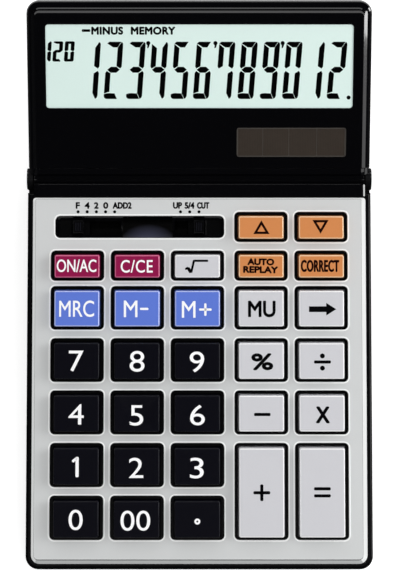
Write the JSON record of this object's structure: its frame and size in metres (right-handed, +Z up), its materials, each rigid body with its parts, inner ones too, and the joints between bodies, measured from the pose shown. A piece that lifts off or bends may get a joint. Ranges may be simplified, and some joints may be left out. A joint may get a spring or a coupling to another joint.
{
  "type": "desktop calculator",
  "caption": "Desktop calculator with a wedge-shaped body, raised keys, two slide switches and a tilting display head with a solar cell.",
  "frame": {"origin": "centre of the footprint, on the desk", "axes": "+X to the user's right, +Y away from the user, +Z up"},
  "size_m": [0.1254, 0.2028, 0.0525],
  "materials": {
    "case_black": "satin black moulded plastic",
    "plate_silver": "pale silver, fine satin",
    "lens_black": "glossy black panel with clear windows",
    "display_glass": "pale mint liquid crystal glass",
    "solar_brown": "dark brown amorphous cells under glass",
    "steel": "zinc-plated steel",
    "dome_rubber": "translucent silicone rubber",
    "board_green": "green circuit board",
    "knob_black": "glossy black plastic",
    "contact_brass": "sprung brass",
    "chip_black": "black epoxy",
    "strip_rubber": "grey conductive rubber",
    "cable_grey": "grey flat cable",
    "cell_steel": "nickel-plated steel",
    "foot_rubber": "dark rubber",
    "key_red": "magenta plastic",
    "key_blue": "mid-blue plastic",
    "key_orange": "orange plastic",
    "key_grey": "light grey plastic",
    "key_black": "black plastic"
  },
  "bodies": {
    "body": {"lower_case": "case_black", "keyboard_frame": "case_black", "face_plate": "plate_silver", "hinge_end_caps": "case_black", "hinge_pins": "steel", "hinge_friction_washers": "steel", "rubber_dome_sheet": "dome_rubber", "keyboard_circuit_board": "board_green", "ribbon_cable": "cable_grey", "button_cell": "cell_steel", "battery_contacts": "contact_brass", "battery_cover": "case_black", "case_screws": "steel", "rubber_feet": "foot_rubber"},
    "head": {"head_front_bezel": "case_black", "display_lens": "lens_black", "lcd_panel": "display_glass", "solar_cell": "solar_brown", "head_rear_cover": "case_black", "display_circuit_board": "board_green", "driver_chip": "chip_black", "zebra_strip": "strip_rubber"},
    "decimal_switch": {"decimal_switch_knob": "knob_black", "decimal_switch_wiper": "contact_brass"},
    "rounding_switch": {"rounding_switch_knob": "knob_black", "rounding_switch_wiper": "contact_brass"},
    "key_0_body": {"key_0": "key_black"},
    "key_00_body": {"key_00": "key_black"},
    "key_point_body": {"key_point": "key_black"},
    "key_1_body": {"key_1": "key_black"},
    "key_2_body": {"key_2": "key_black"},
    "key_3_body": {"key_3": "key_black"},
    "key_4_body": {"key_4": "key_black"},
    "key_5_body": {"key_5": "key_black"},
    "key_6_body": {"key_6": "key_black"},
    "key_minus_body": {"key_minus": "key_grey"},
    "key_times_body": {"key_times": "key_grey"},
    "key_7_body": {"key_7": "key_black"},
    "key_8_body": {"key_8": "key_black"},
    "key_9_body": {"key_9": "key_black"},
    "key_percent_body": {"key_percent": "key_grey"},
    "key_divide_body": {"key_divide": "key_grey"},
    "key_memory_recall_body": {"key_memory_recall": "key_blue"},
    "key_memory_minus_body": {"key_memory_minus": "key_blue"},
    "key_memory_plus_body": {"key_memory_plus": "key_blue"},
    "key_mark_up_body": {"key_mark_up": "key_grey"},
    "key_shift_body": {"key_shift": "key_grey"},
    "key_plus_body": {"key_plus": "key_grey"},
    "key_equals_body": {"key_equals": "key_grey"},
    "key_all_clear_body": {"key_all_clear": "key_red"},
    "key_clear_entry_body": {"key_clear_entry": "key_red"},
    "key_square_root_body": {"key_square_root": "key_grey"},
    "key_replay_body": {"key_replay": "key_orange"},
    "key_correct_body": {"key_correct": "key_orange"},
    "key_step_up_body": {"key_step_up": "key_orange"},
    "key_step_down_body": {"key_step_down": "key_orange"}
  },
  "joints": [
    {"name": "head_tilt", "type": "hinge", "parent": "body", "child": "head", "pos_m": [0, 0.03918, 0.02417], "axis": [1, 0, 0], "range_deg": [-17, 33], "deforming": ["ribbon_cable"]},
    {"name": "decimal_switch_slide", "type": "slide", "parent": "body", "child": "decimal_switch", "axis": [1, 0, 0], "range_m": [0, 0.0132]},
    {"name": "rounding_switch_slide", "type": "slide", "parent": "body", "child": "rounding_switch", "axis": [1, 0, 0], "range_m": [-0.0066, 0]},
    {"name": "key_0_press", "type": "slide", "parent": "body", "child": "key_0_body", "axis": [0, 0.1045, -0.9945], "range_m": [0, 0.002], "stiffness_N_per_m": 300, "deforming": ["rubber_dome_sheet"]},
    {"name": "key_00_press", "type": "slide", "parent": "body", "child": "key_00_body", "axis": [0, 0.1045, -0.9945], "range_m": [0, 0.002], "stiffness_N_per_m": 300, "deforming": ["rubber_dome_sheet"]},
    {"name": "key_point_press", "type": "slide", "parent": "body", "child": "key_point_body", "axis": [0, 0.1045, -0.9945], "range_m": [0, 0.002], "stiffness_N_per_m": 300, "deforming": ["rubber_dome_sheet"]},
    {"name": "key_1_press", "type": "slide", "parent": "body", "child": "key_1_body", "axis": [0, 0.1045, -0.9945], "range_m": [0, 0.002], "stiffness_N_per_m": 300, "deforming": ["rubber_dome_sheet"]},
    {"name": "key_2_press", "type": "slide", "parent": "body", "child": "key_2_body", "axis": [0, 0.1045, -0.9945], "range_m": [0, 0.002], "stiffness_N_per_m": 300, "deforming": ["rubber_dome_sheet"]},
    {"name": "key_3_press", "type": "slide", "parent": "body", "child": "key_3_body", "axis": [0, 0.1045, -0.9945], "range_m": [0, 0.002], "stiffness_N_per_m": 300, "deforming": ["rubber_dome_sheet"]},
    {"name": "key_4_press", "type": "slide", "parent": "body", "child": "key_4_body", "axis": [0, 0.1045, -0.9945], "range_m": [0, 0.002], "stiffness_N_per_m": 300, "deforming": ["rubber_dome_sheet"]},
    {"name": "key_5_press", "type": "slide", "parent": "body", "child": "key_5_body", "axis": [0, 0.1045, -0.9945], "range_m": [0, 0.002], "stiffness_N_per_m": 300, "deforming": ["rubber_dome_sheet"]},
    {"name": "key_6_press", "type": "slide", "parent": "body", "child": "key_6_body", "axis": [0, 0.1045, -0.9945], "range_m": [0, 0.002], "stiffness_N_per_m": 300, "deforming": ["rubber_dome_sheet"]},
    {"name": "key_minus_press", "type": "slide", "parent": "body", "child": "key_minus_body", "axis": [0, 0.1045, -0.9945], "range_m": [0, 0.002], "stiffness_N_per_m": 300, "deforming": ["rubber_dome_sheet"]},
    {"name": "key_times_press", "type": "slide", "parent": "body", "child": "key_times_body", "axis": [0, 0.1045, -0.9945], "range_m": [0, 0.002], "stiffness_N_per_m": 300, "deforming": ["rubber_dome_sheet"]},
    {"name": "key_7_press", "type": "slide", "parent": "body", "child": "key_7_body", "axis": [0, 0.1045, -0.9945], "range_m": [0, 0.002], "stiffness_N_per_m": 300, "deforming": ["rubber_dome_sheet"]},
    {"name": "key_8_press", "type": "slide", "parent": "body", "child": "key_8_body", "axis": [0, 0.1045, -0.9945], "range_m": [0, 0.002], "stiffness_N_per_m": 300, "deforming": ["rubber_dome_sheet"]},
    {"name": "key_9_press", "type": "slide", "parent": "body", "child": "key_9_body", "axis": [0, 0.1045, -0.9945], "range_m": [0, 0.002], "stiffness_N_per_m": 300, "deforming": ["rubber_dome_sheet"]},
    {"name": "key_percent_press", "type": "slide", "parent": "body", "child": "key_percent_body", "axis": [0, 0.1045, -0.9945], "range_m": [0, 0.002], "stiffness_N_per_m": 300, "deforming": ["rubber_dome_sheet"]},
    {"name": "key_divide_press", "type": "slide", "parent": "body", "child": "key_divide_body", "axis": [0, 0.1045, -0.9945], "range_m": [0, 0.002], "stiffness_N_per_m": 300, "deforming": ["rubber_dome_sheet"]},
    {"name": "key_memory_recall_press", "type": "slide", "parent": "body", "child": "key_memory_recall_body", "axis": [0, 0.1045, -0.9945], "range_m": [0, 0.002], "stiffness_N_per_m": 300, "deforming": ["rubber_dome_sheet"]},
    {"name": "key_memory_minus_press", "type": "slide", "parent": "body", "child": "key_memory_minus_body", "axis": [0, 0.1045, -0.9945], "range_m": [0, 0.002], "stiffness_N_per_m": 300, "deforming": ["rubber_dome_sheet"]},
    {"name": "key_memory_plus_press", "type": "slide", "parent": "body", "child": "key_memory_plus_body", "axis": [0, 0.1045, -0.9945], "range_m": [0, 0.002], "stiffness_N_per_m": 300, "deforming": ["rubber_dome_sheet"]},
    {"name": "key_mark_up_press", "type": "slide", "parent": "body", "child": "key_mark_up_body", "axis": [0, 0.1045, -0.9945], "range_m": [0, 0.002], "stiffness_N_per_m": 300, "deforming": ["rubber_dome_sheet"]},
    {"name": "key_shift_press", "type": "slide", "parent": "body", "child": "key_shift_body", "axis": [0, 0.1045, -0.9945], "range_m": [0, 0.002], "stiffness_N_per_m": 300, "deforming": ["rubber_dome_sheet"]},
    {"name": "key_plus_press", "type": "slide", "parent": "body", "child": "key_plus_body", "axis": [0, 0.1045, -0.9945], "range_m": [0, 0.002], "stiffness_N_per_m": 300, "deforming": ["rubber_dome_sheet"]},
    {"name": "key_equals_press", "type": "slide", "parent": "body", "child": "key_equals_body", "axis": [0, 0.1045, -0.9945], "range_m": [0, 0.002], "stiffness_N_per_m": 300, "deforming": ["rubber_dome_sheet"]},
    {"name": "key_all_clear_press", "type": "slide", "parent": "body", "child": "key_all_clear_body", "axis": [0, 0.1045, -0.9945], "range_m": [0, 0.002], "stiffness_N_per_m": 300, "deforming": ["rubber_dome_sheet"]},
    {"name": "key_clear_entry_press", "type": "slide", "parent": "body", "child": "key_clear_entry_body", "axis": [0, 0.1045, -0.9945], "range_m": [0, 0.002], "stiffness_N_per_m": 300, "deforming": ["rubber_dome_sheet"]},
    {"name": "key_square_root_press", "type": "slide", "parent": "body", "child": "key_square_root_body", "axis": [0, 0.1045, -0.9945], "range_m": [0, 0.002], "stiffness_N_per_m": 300, "deforming": ["rubber_dome_sheet"]},
    {"name": "key_replay_press", "type": "slide", "parent": "body", "child": "key_replay_body", "axis": [0, 0.1045, -0.9945], "range_m": [0, 0.002], "stiffness_N_per_m": 300, "deforming": ["rubber_dome_sheet"]},
    {"name": "key_correct_press", "type": "slide", "parent": "body", "child": "key_correct_body", "axis": [0, 0.1045, -0.9945], "range_m": [0, 0.002], "stiffness_N_per_m": 300, "deforming": ["rubber_dome_sheet"]},
    {"name": "key_step_up_press", "type": "slide", "parent": "body", "child": "key_step_up_body", "axis": [0, 0.1045, -0.9945], "range_m": [0, 0.002], "stiffness_N_per_m": 300, "deforming": ["rubber_dome_sheet"]},
    {"name": "key_step_down_press", "type": "slide", "parent": "body", "child": "key_step_down_body", "axis": [0, 0.1045, -0.9945], "range_m": [0, 0.002], "stiffness_N_per_m": 300, "deforming": ["rubber_dome_sheet"]}
  ]
}
